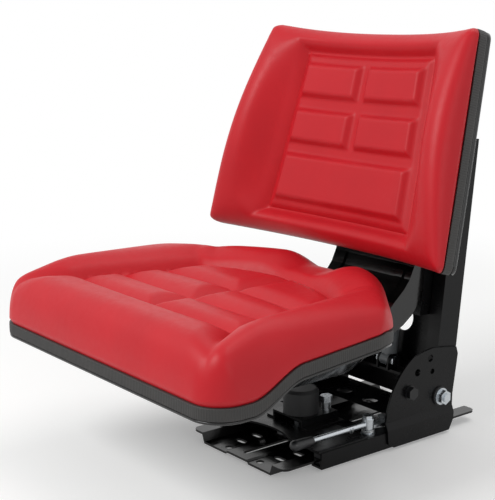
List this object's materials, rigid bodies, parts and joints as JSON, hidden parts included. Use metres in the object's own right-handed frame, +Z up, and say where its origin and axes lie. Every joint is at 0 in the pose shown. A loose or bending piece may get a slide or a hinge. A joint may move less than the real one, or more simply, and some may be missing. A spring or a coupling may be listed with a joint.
{
  "type": "tractor seat",
  "caption": "Suspension tractor seat: red padded cushions on a black shell, roller mast with springs and damper, slide rails with a lock lever, slotted base plate.",
  "frame": {"origin": "Centre of the four main mounting slots, in the plane of the base floor's underside", "axes": "+Z up, +Y towards the rear where the mast stands, +X across to the right when looking along +Y; the seat faces -Y"},
  "size_m": [0.49, 0.5815, 0.5663],
  "materials": {
    "base_paint": "satin black paint",
    "frame_paint": "black powder coat",
    "shell_gloss": "gloss black paint",
    "zinc": "zinc plated",
    "black_steel": "black oxide",
    "spring_steel": "zinc plated spring wire",
    "damper_grey": "grey paint",
    "rubber": "matte",
    "black_plastic": "moulded",
    "white_nylon": "moulded nylon",
    "red_vinyl": "grained vinyl over moulded foam",
    "edging": "ribbed edging strip"
  },
  "bodies": {
    "base": {"base_plate": "base_paint", "rack_strip": "base_paint"},
    "frame": {"rail_left": "frame_paint", "rail_right": "frame_paint", "slide_glides": "black_plastic", "front_plate": "frame_paint", "rear_plate": "frame_paint", "cheek_left": "frame_paint", "cheek_right": "frame_paint", "pivot_bolts": "zinc", "pivot_nuts": "zinc", "pivot_washers": "rubber", "tilt_bolts": "black_steel", "tilt_nuts": "zinc", "mast": "frame_paint", "mast_cap": "frame_paint", "top_buffers": "rubber", "damper_foot": "frame_paint", "damper_tube": "damper_grey", "damper_bolt_low": "zinc", "stop_bracket": "frame_paint", "stop_buffer": "rubber", "stop_screw": "zinc", "lever_pivot": "zinc"},
    "carriage": {"carriage": "frame_paint", "roller_pins": "zinc", "damper_rod": "zinc", "damper_bolt_high": "zinc", "suspension_springs": "spring_steel", "stop_plate": "frame_paint", "seat_pan": "shell_gloss", "shell_neck": "shell_gloss", "back_pan": "shell_gloss", "shell_bolts": "zinc", "shell_nuts": "zinc", "shell_spacers": "zinc", "seat_cushion": "red_vinyl", "back_cushion": "red_vinyl", "seat_trim": "edging", "back_trim": "edging"},
    "yoke": {"spring_yoke": "zinc"},
    "adjuster": {"adjuster_spindle": "zinc", "adjuster_knob": "black_plastic"},
    "lever": {"lever_rod": "zinc", "lever_grip": "black_plastic", "lever_plate": "zinc", "lever_spring": "spring_steel"},
    "roller_upper_left": {"roller_upper_left": "white_nylon"},
    "roller_upper_right": {"roller_upper_right": "white_nylon"},
    "roller_lower_left": {"roller_lower_left": "white_nylon"},
    "roller_lower_right": {"roller_lower_right": "white_nylon"}
  },
  "joints": [
    {"name": "slide_adjust", "type": "slide", "parent": "base", "child": "frame", "axis": [0, 1, 0], "range_m": [-0.06, 0.06]},
    {"name": "suspension", "type": "slide", "parent": "frame", "child": "carriage", "axis": [0, 0.1167, 0.9932], "range_m": [-0.0795, 0], "stiffness_N_per_m": 8000, "springref_m": 0.04, "deforming": ["suspension_springs"]},
    {"name": "weight_adjust", "type": "hinge", "parent": "frame", "child": "adjuster", "pos_m": [0, 0.14538, 0.40368], "axis": [0, 0.1167, 0.9932], "range_deg": [0, 1440]},
    {"name": "yoke_travel", "type": "slide", "parent": "frame", "child": "yoke", "axis": [0, 0.1167, 0.9932], "range_m": [-0.012, 0]},
    {"name": "lock_lever", "type": "hinge", "parent": "frame", "child": "lever", "pos_m": [0.092, -0.027, 0.04], "axis": [0, 0, 1], "range_deg": [0, 12], "stiffness_Nm_per_rad": 0.5, "springref_deg": -11.46},
    {"name": "roller_upper_left_roll", "type": "hinge", "parent": "carriage", "child": "roller_upper_left", "pos_m": [-0.092, 0.14038, 0.35896], "axis": [1, 0, 0], "continuous": true},
    {"name": "roller_upper_right_roll", "type": "hinge", "parent": "carriage", "child": "roller_upper_right", "pos_m": [0.092, 0.14038, 0.35896], "axis": [1, 0, 0], "continuous": true},
    {"name": "roller_lower_left_roll", "type": "hinge", "parent": "carriage", "child": "roller_lower_left", "pos_m": [-0.092, 0.11996, 0.18515], "axis": [1, 0, 0], "continuous": true},
    {"name": "roller_lower_right_roll", "type": "hinge", "parent": "carriage", "child": "roller_lower_right", "pos_m": [0.092, 0.11996, 0.18515], "axis": [1, 0, 0], "continuous": true}
  ],
  "couplings": [
    {"joint": "weight_adjust", "follows": "yoke_travel", "rad_per_m": -2094.4},
    {"joint": "roller_upper_left_roll", "follows": "suspension", "rad_per_m": 64.516},
    {"joint": "roller_upper_right_roll", "follows": "suspension", "rad_per_m": 64.516},
    {"joint": "roller_lower_left_roll", "follows": "suspension", "rad_per_m": -64.516},
    {"joint": "roller_lower_right_roll", "follows": "suspension", "rad_per_m": -64.516}
  ]
}
